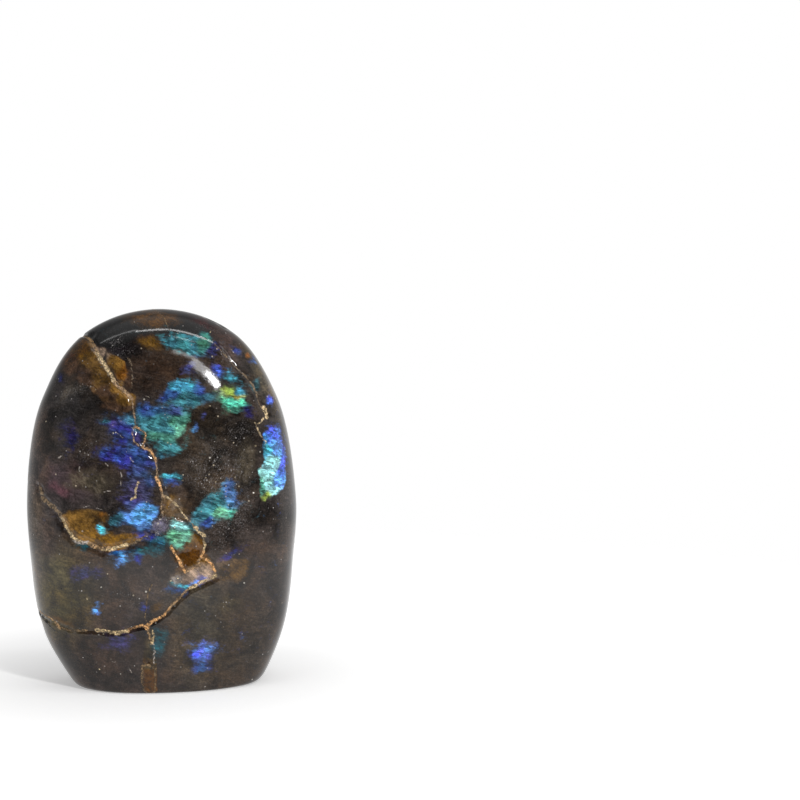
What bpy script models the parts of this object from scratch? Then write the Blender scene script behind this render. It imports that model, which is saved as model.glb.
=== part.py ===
"""A palm-sized labradorite, polished all round and cut flat underneath so that it stands.

It is one solid. The form is an upright pebble: its silhouette is a smooth closed curve, its
front and back are gentle domes, and a broad rounded rim joins them. Healed fractures run
through the whole stone and stand a little below the polish, as grooves with rough pits.
Units are metres, +Z is up, the broad front faces -Y, and the origin is the middle of the base.
"""

import bmesh
import bpy
import numpy as np
from mathutils import Vector, noise

MM = 0.001

# The silhouette, as distances from its centre every 22.5 degrees, from +X towards +Z.
CENTRE = (-0.2 * MM, 0.3 * MM, 46.5 * MM)
SILHOUETTE = np.array(
    (36.1, 37.7, 43.4, 51.2, 53.7, 51.5, 43.8, 37.6, 35.7, 37.6, 44.8, 55.3, 78.0, 58.0, 46.1, 38.0)
) * MM

# Half thickness of the stone, and how far its domes would reach across and up.
HALF_DEPTH_FRONT = 20.0 * MM
HALF_DEPTH_BACK = 19.5 * MM
DOME_HALF_WIDTH = 78.0 * MM
DOME_HALF_HEIGHT = 107.0 * MM

# Shares of silhouette and depth in the slanted band around each side, and how tightly
# the faces meet: a higher power gives a crisper shoulder.
FRONT_SHOULDER = (0.66, 0.60)
BACK_SHOULDER = (0.62, 0.62)
SHOULDER_POWER = 9.0
BASE_EDGE_POWER = 60.0

# Hand polishing leaves low swells: their width and height.
SWELLS = ((26.0 * MM, 0.30 * MM), (9.0 * MM, 0.07 * MM))

# Healed fractures as the front shows them, in millimetres across and up. The first and
# last points of the long ones lie past the silhouette, where the fracture rounds the rim.
MAIN_VEIN = (
    (-22, 102), (-18.2, 92.9), (-17.4, 90.9), (-15, 86.6), (-11.4, 81.3), (-7.6, 77.5), (-6.9, 70.6),
    (-5.7, 67.5), (-3.4, 64), (-1.7, 61.4), (-1.4, 57.8), (0.3, 52.3), (3, 47.2), (6.5, 45.8),
    (8.6, 43.5), (10.7, 39.9), (10.1, 36.8), (12.9, 33.6), (13.5, 30.6), (10, 29.2), (6.7, 27.7),
    (3.6, 25.2), (1.1, 22.1), (-2.3, 19.8), (-4.4, 18.5),
)
LOWER_VEIN = (
    (-42, 22.5), (-32.8, 19), (-29.8, 19), (-26.5, 18.1), (-24.5, 17.1), (-17.7, 17.1), (-14.6, 16.6),
    (-10.8, 16.7), (-7.7, 18), (-4.4, 18.5), (-1, 21.1),
)
SIDE_CRACK = ((14.5, 91), (15.6, 89.5), (19, 84.8), (22.4, 82.1), (24.4, 78.2), (25.9, 74.3), (27.5, 72.4))
STALK = ((-4.4, 18.5), (-3.6, 14.8), (-3.2, 10.7), (-4, 9))
CRESCENT = (
    (-31.8, 54.5), (-31, 51.2), (-28.9, 49.3), (-26.8, 47.1), (-24.5, 42.8), (-22.5, 40.8),
    (-17.6, 39.5), (-15.1, 38.3), (-12, 38.5), (-9.2, 39.3), (-4.6, 41),
)

BACK_VEIN = ((26, 88), (19, 79), (15.5, 70), (9, 63.5), (4.5, 56.5), (-4, 53))

# Each fracture with its groove's half width and depth, the depth of the pits in it, and
# where it shows: on the front, on the back, or on both as it runs through the stone.
FRONT, BACK, THROUGH = -1, 1, 0
GROOVES = (
    (MAIN_VEIN, 1.1 * MM, 0.45 * MM, 0.35 * MM, THROUGH),
    (LOWER_VEIN, 1.1 * MM, 0.40 * MM, 0.30 * MM, THROUGH),
    (SIDE_CRACK, 0.9 * MM, 0.35 * MM, 0.10 * MM, FRONT),
    (STALK, 0.9 * MM, 0.20 * MM, 0.05 * MM, FRONT),
    (CRESCENT, 1.6 * MM, 0.30 * MM, 0.50 * MM, FRONT),
    (BACK_VEIN, 1.0 * MM, 0.35 * MM, 0.20 * MM, BACK),
)
PIT_SIZE = 1.6 * MM

# Past this depth the fractures slant across the stone, so the back shows them shifted.
SLANT_FROM_Y = -10.0 * MM
SLANT = (0.34, -0.22)
GROOVES_FADE_ABOVE_BASE = 3.0 * MM

# Hollows of rough, unpolished crust beside the main vein: centre, radius and depth.
HOLLOWS = (
    ((6.3 * MM, 38.2 * MM), 4.6 * MM, 0.45 * MM),
    ((2.6 * MM, 48.4 * MM), 3.4 * MM, 0.35 * MM),
)

# Chips where a fracture or a knock broke the rim: centre, radius and depth.
CHIPS = (
    ((13.6 * MM, 0.0, 97.8 * MM), 3.2 * MM, 0.55 * MM),
    ((16.6 * MM, -2.0 * MM, 96.0 * MM), 2.4 * MM, 0.40 * MM),
    ((-18.2 * MM, -7.0 * MM, 92.9 * MM), 2.2 * MM, 0.60 * MM),
    ((-32.4 * MM, -3.0 * MM, 16.6 * MM), 2.6 * MM, 0.60 * MM),
    ((31.5 * MM, 8.0 * MM, 24.0 * MM), 2.6 * MM, 0.45 * MM),
    ((-9.0 * MM, 15.0 * MM, 88.0 * MM), 2.4 * MM, 0.40 * MM),
)

# How fine the facets are: the widest gap to the true surface, and the longest edges.
FACET_GAP = 0.08 * MM
LONGEST_EDGE = 4.8 * MM
LONGEST_EDGE_AT_MARK = 1.4 * MM
SHORTEST_EDGE = 0.8 * MM
REFINE_ROUNDS = 5
EVENING_ROUNDS = 4

STONE_COLOUR = (0.035, 0.030, 0.027, 1.0)
STONE_ROUGHNESS = 0.12


def clear_scene():
    for obj in list(bpy.data.objects):
        bpy.data.objects.remove(obj, do_unlink=True)


def silhouette_distance(angle):
    """Distance from the centre to the silhouette, smooth through the given distances."""
    count = len(SILHOUETTE)
    step = (angle / (2 * np.pi) * count) % count
    first = np.floor(step).astype(int)
    part = step - first
    before, start, end, after = (SILHOUETTE[(first + shift) % count] for shift in (-1, 0, 1, 2))
    return 0.5 * (
        2 * start
        + (end - before) * part
        + (2 * before - 5 * start + 4 * end - after) * part**2
        + (3 * start - before - 3 * end + after) * part**3
    )


def blend(terms, power):
    return sum(term**power for term in terms) ** (1 / power)


def gauge(offsets):
    """How far out each offset from the centre lies: 1 on the stone's surface, under 1 inside."""
    across, deep, up = offsets.T
    outline = np.hypot(across, up) / silhouette_distance(np.arctan2(up, across))
    depth = deep / np.where(deep < 0, HALF_DEPTH_FRONT, HALF_DEPTH_BACK)
    dome = np.sqrt((across / DOME_HALF_WIDTH) ** 2 + (up / DOME_HALF_HEIGHT) ** 2 + depth**2)
    front = np.maximum(FRONT_SHOULDER[0] * outline - FRONT_SHOULDER[1] * depth, 0)
    back = np.maximum(BACK_SHOULDER[0] * outline + BACK_SHOULDER[1] * depth, 0)
    form = blend((outline, dome, front, back), SHOULDER_POWER)
    base = np.maximum(-up / CENTRE[2], 0)
    return blend((form, base), BASE_EDGE_POWER)


def on_surface(points):
    """The points moved out or in from the centre, onto the smooth form."""
    offsets = points - np.array(CENTRE)
    return np.array(CENTRE) + offsets / gauge(offsets)[:, None]


def surface_normals(points):
    step = 0.02 * MM
    offsets = points - np.array(CENTRE)
    slopes = [gauge(offsets + step * axis) - gauge(offsets - step * axis) for axis in np.eye(3)]
    slopes = np.stack(slopes, 1)
    return slopes / np.linalg.norm(slopes, axis=1)[:, None]


def front_view(points):
    """Across and up, followed along the slant of the fractures, in metres."""
    run = np.maximum(points[:, 1] - SLANT_FROM_Y, 0)
    return np.stack((points[:, 0] + SLANT[0] * run, points[:, 2] + SLANT[1] * run), 1)


def path_distance(spots, path):
    """Distance from each spot to a path of straight runs, both in the front view."""
    nearest = np.full(len(spots), np.inf)
    corners = np.array(path) * MM
    for start, end in zip(corners[:-1], corners[1:]):
        run = end - start
        along = np.clip((spots - start) @ run / (run @ run), 0, 1)
        nearest = np.minimum(nearest, np.linalg.norm(spots - start - along[:, None] * run, axis=1))
    return nearest


def bowl(distance, radius):
    """1 in the middle of a hollow and 0 from its rim outwards."""
    return np.clip(1 - (distance / radius) ** 2, 0, 1) ** 2


def noise_at(points, size):
    return np.array([noise.noise(Vector(point / size)) for point in points])


def shows(points, side):
    """True on the side of the stone where a mark shows."""
    return points[:, 1] * side >= 0


def carved_depth(points):
    """How far grooves, hollows and chips lie below the smooth form."""
    spots = front_view(points)
    rough = noise_at(points, PIT_SIZE)
    depth = np.zeros(len(points))
    for path, half_width, groove, pits, side in GROOVES:
        across = bowl(path_distance(spots, path), half_width) * shows(points, side)
        depth = np.maximum(depth, across * (groove + pits * rough))
    for centre, radius, deep in HOLLOWS:
        distance = np.linalg.norm(spots - np.array(centre), axis=1)
        hollow = bowl(distance, radius) * shows(points, FRONT)
        depth = np.maximum(depth, hollow * deep * (1 + 0.6 * rough))
    for centre, radius, deep in CHIPS:
        distance = np.linalg.norm(points - np.array(centre), axis=1)
        depth = np.maximum(depth, bowl(distance, radius) * deep)
    return depth * np.clip(points[:, 2] / GROOVES_FADE_ABOVE_BASE, 0, 1)


def swell_height(points):
    height = sum(rise * noise_at(points, width) for width, rise in SWELLS)
    return height * np.clip(points[:, 2] / GROOVES_FADE_ABOVE_BASE, 0, 1)


def near_mark(points):
    """True where a groove, hollow or chip needs finer facets."""
    margin = 0.6 * MM
    spots = front_view(points)
    near = np.zeros(len(points), bool)
    for path, half_width, _, _, side in GROOVES:
        near |= (path_distance(spots, path) < half_width + margin) & shows(points, side)
    for centre, radius, _ in HOLLOWS:
        distance = np.linalg.norm(spots - np.array(centre), axis=1)
        near |= (distance < radius) & shows(points, FRONT)
    for centre, radius, _ in CHIPS:
        near |= np.linalg.norm(points - np.array(centre), axis=1) < radius
    return near & (points[:, 2] > GROOVES_FADE_ABOVE_BASE)


def positions(bm):
    return np.array([vert.co[:] for vert in bm.verts])


def place(bm, points):
    for vert, point in zip(bm.verts, points):
        vert.co = point


def edge_ends(bm):
    bm.verts.index_update()
    return np.array([[vert.index for vert in edge.verts] for edge in bm.edges])


def refine(bm):
    """Split edges until the facets follow the form and are fine along the marks."""
    for _ in range(REFINE_ROUNDS):
        points = positions(bm)
        ends = edge_ends(bm)
        lengths = np.linalg.norm(points[ends[:, 0]] - points[ends[:, 1]], axis=1)
        middles = points[ends].mean(axis=1)
        gaps = np.linalg.norm(on_surface(middles) - middles, axis=1)
        coarse = (lengths > LONGEST_EDGE) | ((gaps > FACET_GAP) & (lengths > 2 * SHORTEST_EDGE))
        coarse |= near_mark(middles) & (lengths > LONGEST_EDGE_AT_MARK)
        chosen = [edge for edge, split in zip(bm.edges, coarse) if split]
        if not chosen:
            break
        bmesh.ops.subdivide_edges(bm, edges=chosen, cuts=1, use_grid_fill=True, use_single_edge=True)
        bmesh.ops.triangulate(bm, faces=[face for face in bm.faces if len(face.verts) > 3])
        place(bm, on_surface(positions(bm)))


def even_out(bm):
    """Slide points towards the middle of their neighbours, keeping them on the form."""
    for _ in range(EVENING_ROUNDS):
        points = positions(bm)
        ends = edge_ends(bm)
        total = np.zeros_like(points)
        count = np.zeros(len(points))
        for here, there in ((0, 1), (1, 0)):
            np.add.at(total, ends[:, here], points[ends[:, there]])
            np.add.at(count, ends[:, here], 1)
        place(bm, on_surface((points + total / count[:, None]) / 2))


def stone_material():
    material = bpy.data.materials.new("labradorite")
    material.use_nodes = True
    shader = material.node_tree.nodes["Principled BSDF"]
    shader.inputs["Base Color"].default_value = STONE_COLOUR
    shader.inputs["Roughness"].default_value = STONE_ROUGHNESS
    shader.inputs["Metallic"].default_value = 0.0
    return material


def make_stone(collection):
    bpy.ops.mesh.primitive_ico_sphere_add(subdivisions=4, radius=1.0)
    stone = bpy.context.object
    stone.name = "stone"
    stone.data.name = "stone"
    for home in list(stone.users_collection):
        home.objects.unlink(stone)
    collection.objects.link(stone)

    bm = bmesh.new()
    bm.from_mesh(stone.data)
    spread = np.array((SILHOUETTE[0], HALF_DEPTH_FRONT, CENTRE[2]))
    place(bm, on_surface(np.array(CENTRE) + positions(bm) * spread))
    even_out(bm)
    refine(bm)
    even_out(bm)

    points = positions(bm)
    relief = swell_height(points) - carved_depth(points)
    points = points + relief[:, None] * surface_normals(points)
    flat = points[:, 2] < 0.02 * MM
    points[flat, 2] = 0.0
    place(bm, points)
    bmesh.ops.recalc_face_normals(bm, faces=bm.faces)
    bm.to_mesh(stone.data)
    bm.free()
    stone.data.shade_smooth()
    stone.data.materials.append(stone_material())
    return stone


def main():
    clear_scene()
    collection = bpy.data.collections.new("labradorite_stone")
    bpy.context.scene.collection.children.link(collection)
    make_stone(collection)


main()
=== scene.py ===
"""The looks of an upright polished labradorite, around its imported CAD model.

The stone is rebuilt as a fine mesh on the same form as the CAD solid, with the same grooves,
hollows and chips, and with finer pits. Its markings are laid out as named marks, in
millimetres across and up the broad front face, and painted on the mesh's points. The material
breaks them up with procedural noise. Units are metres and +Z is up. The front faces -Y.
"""

import math

import bmesh
import bpy
import numpy as np
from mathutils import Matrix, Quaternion, Vector, noise


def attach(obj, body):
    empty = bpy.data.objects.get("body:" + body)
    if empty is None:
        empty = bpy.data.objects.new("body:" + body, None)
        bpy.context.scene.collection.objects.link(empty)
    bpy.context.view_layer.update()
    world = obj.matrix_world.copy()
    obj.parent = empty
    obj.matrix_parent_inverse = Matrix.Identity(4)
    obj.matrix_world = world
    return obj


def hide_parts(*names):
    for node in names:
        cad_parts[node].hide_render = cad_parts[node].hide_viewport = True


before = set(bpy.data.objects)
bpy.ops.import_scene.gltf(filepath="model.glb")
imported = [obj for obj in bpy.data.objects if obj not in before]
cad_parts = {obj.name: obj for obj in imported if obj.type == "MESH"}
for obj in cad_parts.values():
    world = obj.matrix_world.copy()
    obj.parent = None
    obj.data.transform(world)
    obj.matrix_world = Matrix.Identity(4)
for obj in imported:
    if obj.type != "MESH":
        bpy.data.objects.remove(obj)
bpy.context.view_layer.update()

MM = 0.001

# Form of the stone, as the CAD source has it

CENTRE = np.array((-0.2, 0.3, 46.5)) * MM
SILHOUETTE = np.array(
    (36.1, 37.7, 43.4, 51.2, 53.7, 51.5, 43.8, 37.6, 35.7, 37.6, 44.8, 55.3, 78.0, 58.0, 46.1, 38.0)
) * MM
HALF_DEPTH_FRONT = 20.0 * MM
HALF_DEPTH_BACK = 19.5 * MM
DOME_HALF_WIDTH = 78.0 * MM
DOME_HALF_HEIGHT = 107.0 * MM
FRONT_SHOULDER = (0.66, 0.60)
BACK_SHOULDER = (0.62, 0.62)
SHOULDER_POWER = 9.0
BASE_EDGE_POWER = 60.0
SWELLS = ((26.0 * MM, 0.30 * MM), (9.0 * MM, 0.07 * MM))

# Healed fractures, in millimetres across and up as the front shows them

MAIN_VEIN = (
    (-22, 102), (-18.2, 92.9), (-17.4, 90.9), (-15, 86.6), (-11.4, 81.3), (-7.6, 77.5), (-6.9, 70.6),
    (-5.7, 67.5), (-3.4, 64), (-1.7, 61.4), (-1.4, 57.8), (0.3, 52.3), (3, 47.2), (6.5, 45.8),
    (8.6, 43.5), (10.7, 39.9), (10.1, 36.8), (12.9, 33.6), (13.5, 30.6), (10, 29.2), (6.7, 27.7),
    (3.6, 25.2), (1.1, 22.1), (-2.3, 19.8), (-4.4, 18.5),
)
LOWER_VEIN = (
    (-42, 22.5), (-32.8, 19), (-29.8, 19), (-26.5, 18.1), (-24.5, 17.1), (-17.7, 17.1), (-14.6, 16.6),
    (-10.8, 16.7), (-7.7, 18), (-4.4, 18.5), (-1, 21.1),
)
SIDE_CRACK = ((14.5, 91), (15.6, 89.5), (19, 84.8), (22.4, 82.1), (24.4, 78.2), (25.9, 74.3), (27.5, 72.4))
STALK = ((-4.4, 18.5), (-3.6, 14.8), (-3.2, 10.7), (-4, 9))
CRESCENT = (
    (-31.8, 54.5), (-31, 51.2), (-28.9, 49.3), (-26.8, 47.1), (-24.5, 42.8), (-22.5, 40.8),
    (-17.6, 39.5), (-15.1, 38.3), (-12, 38.5), (-9.2, 39.3), (-4.6, 41),
)
BACK_VEIN = ((26, 88), (19, 79), (15.5, 70), (9, 63.5), (4.5, 56.5), (-4, 53))

# Each fracture's half width, depth and pit depth, and the side where it shows

FRONT, BACK, THROUGH = -1, 1, 0
GROOVES = (
    (MAIN_VEIN, 1.1 * MM, 0.45 * MM, 0.35 * MM, THROUGH),
    (LOWER_VEIN, 1.1 * MM, 0.40 * MM, 0.30 * MM, THROUGH),
    (SIDE_CRACK, 0.9 * MM, 0.35 * MM, 0.10 * MM, FRONT),
    (STALK, 0.9 * MM, 0.20 * MM, 0.05 * MM, FRONT),
    (CRESCENT, 1.6 * MM, 0.30 * MM, 0.50 * MM, FRONT),
    (BACK_VEIN, 1.0 * MM, 0.35 * MM, 0.20 * MM, BACK),
)
PIT_SIZE = 1.6 * MM
FINE_PIT_SIZE = 0.7 * MM
FINE_PIT_DEPTH = 0.12 * MM
SLANT_FROM_Y = -10.0 * MM
SLANT = (0.34, -0.22)
GROOVES_FADE_ABOVE_BASE = 3.0 * MM

HOLLOWS = (
    ((6.3 * MM, 38.2 * MM), 4.6 * MM, 0.45 * MM),
    ((2.6 * MM, 48.4 * MM), 3.4 * MM, 0.35 * MM),
)
CHIPS = (
    ((13.6 * MM, 0.0, 97.8 * MM), 3.2 * MM, 0.55 * MM),
    ((16.6 * MM, -2.0 * MM, 96.0 * MM), 2.4 * MM, 0.40 * MM),
    ((-18.2 * MM, -7.0 * MM, 92.9 * MM), 2.2 * MM, 0.60 * MM),
    ((-32.4 * MM, -3.0 * MM, 16.6 * MM), 2.6 * MM, 0.60 * MM),
    ((31.5 * MM, 8.0 * MM, 24.0 * MM), 2.6 * MM, 0.45 * MM),
    ((-9.0 * MM, 15.0 * MM, 88.0 * MM), 2.4 * MM, 0.40 * MM),
)

# Longest facet edges: on the front, elsewhere, and along the marks

EDGE_FRONT = 0.8 * MM
EDGE_ELSEWHERE = 1.3 * MM
EDGE_AT_MARK = 0.5 * MM
EDGE_AT_DOT = 0.26 * MM
REFINE_ROUNDS = 5
EVENING_ROUNDS = 3

# Colours as the eye sees them, in sRGB

BODY = (45, 40, 38)
BODY_LOW = (66, 60, 57)

NAVY = (28, 28, 80)
INDIGO = (38, 54, 128)
ROYAL = (58, 98, 232)
BLUE = (44, 80, 146)
VIOLET = (58, 60, 122)
PERI = (84, 116, 208)
STEEL = (74, 118, 176)
AZURE = (84, 156, 245)
SKY = (160, 235, 255)
CYAN = (66, 178, 205)
TEAL = (60, 130, 142)
DEEP_TEAL = (46, 92, 110)
SEA = (48, 84, 92)
GREEN = (68, 132, 112)
MINT = (112, 192, 155)
JADE = (86, 215, 182)
LIME = (165, 190, 76)
OLIVE = (150, 140, 50)
SLATE = (56, 78, 130)
DUSK = (63, 62, 98)

GOLD = (118, 86, 38)
OCHRE = (90, 66, 32)
ORANGE = (126, 80, 28)
UMBER = (70, 52, 40)
BROWN = (88, 70, 50)
TAUPE = (76, 68, 56)
WINE = (88, 57, 64)
ROSE = (166, 142, 122)
LAVENDER = (134, 128, 152)
ASH = (122, 116, 112)

CRUST_DARK = (126, 106, 82)
CRUST = (158, 130, 98)
CRUST_WARM = (204, 156, 106)
CRUST_PALE = (200, 176, 136)
CRUST_GREY = (176, 166, 158)
WHITE = (235, 228, 215)
CREAM = (220, 200, 160)
# A painted shade colour, for a dark line under the lower vein
SHADE = (36, 28, 24)

# Flashes on the front, a painted labradorescent sheen: colour, (across, up) and (half width,
# half height) in millimetres, and lean in degrees, rising to the right

FRONT_FLASHES = (
    # Below the crest
    (TEAL, (6, 91.5), (5.3, 1.7), -8),
    (GREEN, (10.5, 91), (2.1, 1.3), -10),
    (VIOLET, (13.5, 89.5), (2.1, 1.3), -20),
    (SLATE, (19.5, 89.5), (1.2, 1.2), 0),
    # The right shoulder
    (ROYAL, (14, 84.5), (2, 1.3), -25),
    (CYAN, (17.5, 82.5), (2, 1.3), -20),
    (VIOLET, (8, 85.5), (2.6, 1.3), 20),
    # A ring and a feather beside it
    (BLUE, (2, 78), (1.8, 2.1), 30),
    (CYAN, (5, 80.5), (2.6, 1.2), 25),
    (BLUE, (9, 79.5), (1.3, 2.4), 20),
    (TEAL, (5, 76.5), (3.9, 1.6), 10),
    (DEEP_TEAL, (10.5, 77.5), (3.2, 1.3), 5),
    (LIME, (17.5, 79), (2.6, 1.3), -5),
    (CYAN, (20, 79), (2.1, 1.6), -10),
    (OLIVE, (19, 77.5), (3.4, 0.8), 0),
    (JADE, (17, 76.5), (1.8, 1.1), -10),
    (JADE, (20, 75.5), (2.4, 0.9), -5),
    (GREEN, (18.5, 74), (2.6, 0.9), 0),
    (NAVY, (22, 73.5), (1.6, 1.6), 0),
    # The broad teal sheet right of the main vein
    (BLUE, (-3.5, 73.5), (3.4, 2.4), -15),
    (SLATE, (3, 74.5), (2.4, 1.3), 0),
    (TEAL, (-2, 71), (5.3, 2.9), -10),
    (GREEN, (3.5, 72), (3.2, 1.8), 30),
    (MINT, (4.5, 69.5), (2.6, 1.2), 50),
    (GREEN, (-0.5, 67.5), (4.2, 1.3), -8),
    (TEAL, (1, 65), (3.7, 1.6), -6),
    (DEEP_TEAL, (-0.5, 63), (1.8, 1.1), -10),
    (CYAN, (2, 57.5), (2.6, 0.9), 5),
    (BLUE, (2, 55.5), (2.4, 1.2), -5),
    # The deep blue field left of the main vein
    (INDIGO, (-10, 69), (3.2, 1.8), -20),
    (VIOLET, (-13, 71), (3.2, 1.3), 5),
    (DEEP_TEAL, (-15, 71.5), (1.3, 0.8), 20),
    (VIOLET, (-6.5, 67), (1.3, 1.8), 0),
    (INDIGO, (-11, 62.5), (5.8, 2.4), -12),
    (ROYAL, (-11.5, 62), (2.6, 1.4), -15),
    (BLUE, (-6.5, 63.5), (2.6, 1.8), -35),
    (INDIGO, (-10, 66.5), (2.4, 1.1), -10),
    (NAVY, (-24, 67), (2.1, 4.5), 5),
    (SLATE, (-6, 58.5), (2.9, 2.4), -20),
    (DUSK, (-6.5, 53.5), (4.2, 3.7), 0),
    (SLATE, (-4, 55.5), (1.8, 1.8), 0),
    (VIOLET, (-8.5, 51), (3.7, 1.1), 0),
    # Bright azure above the crescent
    (AZURE, (-4.5, 49.5), (2.6, 0.9), -5),
    (AZURE, (-7, 47), (3.4, 1.4), -12),
    (STEEL, (-5, 44), (2, 1.7), 20),
    (DEEP_TEAL, (-11.5, 47), (2.4, 1.3), 10),
    (CYAN, (-15.5, 44), (1.4, 1.3), 0),
    # The slanting teal and mint sheet right of the centre
    (TEAL, (13, 48.5), (4.5, 2.6), 38),
    (MINT, (14.5, 47.5), (3.2, 1.6), 25),
    (JADE, (16.5, 47.5), (1.3, 0.8), 30),
    (STEEL, (17.5, 51.5), (1.8, 2.9), -10),
    (BLUE, (11.5, 45), (2.4, 1.2), 20),
    (TEAL, (8, 46), (1.6, 2.4), -20),
    (MINT, (4.5, 41.5), (3.2, 2.2), 10),
    (SKY, (4, 44.5), (2.4, 1.2), 0),
    (DEEP_TEAL, (-1, 40.5), (3.2, 1.6), 0),
    (INDIGO, (-4.5, 42), (3.2, 1.3), 0),
    (SEA, (-3, 38), (4.5, 1.8), 10),
    # Drops and beads below
    (AZURE, (-11, 36), (2.1, 2.1), 0),
    (BLUE, (-13, 38), (1.3, 1.1), -30),
    (INDIGO, (-6, 36), (1.2, 2.4), 0),
    (AZURE, (-18, 22.5), (1.3, 1.4), 0),
    (AZURE, (9, 70), (0.9, 1.3), -15),
    (VIOLET, (11, 72.5), (0.9, 0.8), 0),
    (ROYAL, (28.5, 76), (1.3, 1.2), 0),
    (SLATE, (23.5, 86.5), (1.3, 1.1), 0),
    (SEA, (25, 80.5), (1.3, 2.1), -20),
    (CYAN, (5, 29), (2.6, 0.8), -10),
    (BLUE, (3.5, 27.5), (3.2, 1.3), 5),
    (PERI, (8.5, 29.5), (2.6, 1.1), 20),
    # Low on the right and along the foot
    (PERI, (10.5, 11.5), (3.3, 2.6), 0),
    (ROYAL, (9, 11), (1.8, 1.3), 0),
    (SLATE, (10, 6.5), (3.2, 2.1), 10),
    (SEA, (-1, 13.5), (2.4, 3.2), 0),
    (VIOLET, (-5.5, 24), (1.3, 1.3), 0),
    (NAVY, (-26, 82.5), (1.3, 1.6), 0),
    (DUSK, (-19.5, 32.5), (4.2, 2.1), 10),
    (SEA, (-21, 39), (2.6, 1.1), 0),
    (VIOLET, (17.5, 37), (3.7, 0.8), 20),
    (DUSK, (-11.5, 14), (4.2, 2.6), 10),
    # The bright shelf that rounds the right flank
    (ROYAL, (29.2, 67), (1.8, 2.2), -12),
    (AZURE, (29.3, 63.5), (1.6, 2.4), -12),
    (ROYAL, (31.2, 59.5), (0.9, 5), -10),
    (CYAN, (27.4, 64), (0.7, 2.6), -8),
    (SKY, (28.6, 59.5), (1.3, 2), -8),
    (SKY, (27.8, 56), (1.6, 2), -8),
    (AZURE, (29.8, 55), (1.2, 2.2), -8),
    (SKY, (28.8, 52.3), (1.2, 1), 0),
    (LIME, (27, 51.5), (0.9, 1), 0),
    (GREEN, (25.9, 54), (0.7, 1.6), 0),
)

# Flashes on the back, painted sheen like those on the front, which the photo doesn't show

BACK_FLASHES = (
    (TEAL, (-6, 70), (9, 3.2), 14),
    (GREEN, (2, 74), (5, 2.2), 10),
    (CYAN, (-11, 66), (4, 1.5), 18),
    (INDIGO, (-14, 58), (6, 2.8), 12),
    (ROYAL, (-10, 56), (3, 1.4), 10),
    (NAVY, (14, 60), (6, 5), 0),
    (AZURE, (10, 44), (4, 1.8), 16),
    (TEAL, (4, 40), (5, 2), 14),
    (MINT, (0, 38), (2.6, 1.2), 12),
    (DUSK, (-16, 34), (6, 4), 0),
    (BLUE, (-18, 38), (3, 1.5), 20),
    (PERI, (16, 22), (3.2, 2.2), 0),
    (SEA, (-4, 20), (6, 3), 8),
    (CYAN, (-8, 19), (2, 1), 8),
    (VIOLET, (18, 76), (4, 2.4), -10),
    (SLATE, (8, 86), (4, 2), -14),
    (LIME, (-1, 76.5), (2, 0.9), 10),
)

# Iron-stained and clouded zones, which run through the stone

STAINS = (
    # The gold wedge and flap at the top of the main vein
    (BROWN, (-22, 90), (3.5, 1.4), 43),
    (UMBER, (-23.5, 85.5), (2.4, 2.4), 30),
    (UMBER, (-20.5, 83), (2.4, 2.2), -30),
    (OCHRE, (-18.5, 87), (2.2, 2.2), 0),
    (OCHRE, (-15.5, 83.5), (1.8, 2.8), -35),
    (GOLD, (-11.8, 80), (1.2, 3.2), -42),
    (GOLD, (-9.5, 76.8), (2.0, 1.6), -30),
    (UMBER, (-14, 78.5), (2.6, 1.6), -30),
    (UMBER, (-12, 75), (4.2, 1.2), -5),
    (GOLD, (-11.5, 86.3), (1.7, 1.2), -30),
    (ORANGE, (-10, 83.8), (1.2, 1.8), -15),
    (UMBER, (-8.5, 81), (1.2, 2.1), 10),
    (ROSE, (-15.5, 89), (1.5, 1.2), -40),
    # Along the crest
    (BROWN, (-1, 97), (7.8, 1.8), 0),
    (UMBER, (12.5, 95.5), (3.4, 1.6), -20),
    (OCHRE, (-2.5, 91.5), (3.7, 2.4), 0),
    # Inside the crescent
    (GOLD, (-20, 45), (5.3, 2.4), -15),
    (OCHRE, (-16.5, 47), (3.4, 1.8), -5),
    (ORANGE, (-15.5, 47.5), (1.3, 0.9), 30),
    (WINE, (-26.5, 54), (3.4, 1.8), -30),
    (GOLD, (-14, 41.5), (8.4, 1.3), -3),
    (TAUPE, (-18, 56), (6.8, 3.7), 0),
    # The rough patch and its pale shelf
    (OCHRE, (7, 38.5), (4.2, 4.2), 0),
    (OCHRE, (5, 35), (3.2, 3.2), 0),
    (ROSE, (8.5, 31.5), (5, 2.4), 8),
    (BROWN, (2.5, 49), (3.7, 3.4), -20),
    (GOLD, (1.5, 50), (0.9, 2.9), -25),
    # The bone-shaped vein at the foot
    (OCHRE, (-4, 4.5), (1.8, 4.5), 0),
    (TAUPE, (-4, 12.5), (1.3, 3.2), 5),
    (TAUPE, (-4, 7.5), (1.6, 1.0), 0),
    # Silvery crystal patches
    (LAVENDER, (-0.8, 44.2), (2.4, 1.9), 0),
    (ASH, (3.6, 31), (1.6, 1.2), 0),
    # The right side
    (BROWN, (17.5, 31.5), (5.3, 2.4), 0),
    (TAUPE, (16.5, 23.5), (3.4, 3), 0),
    (BROWN, (-2, 23.5), (2.0, 1.4), 20),
    (ORANGE, (23, 87.5), (1.1, 0.7), 0),
    (TAUPE, (21.5, 60.5), (2.9, 6.3), -8),
    (BROWN, (-26.5, 19), (4.2, 1.1), -20),
)

# Outlined zones, in millimetres across and up: how soft the edge is, and the corners.
# The ovals inside them give their colours.

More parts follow.
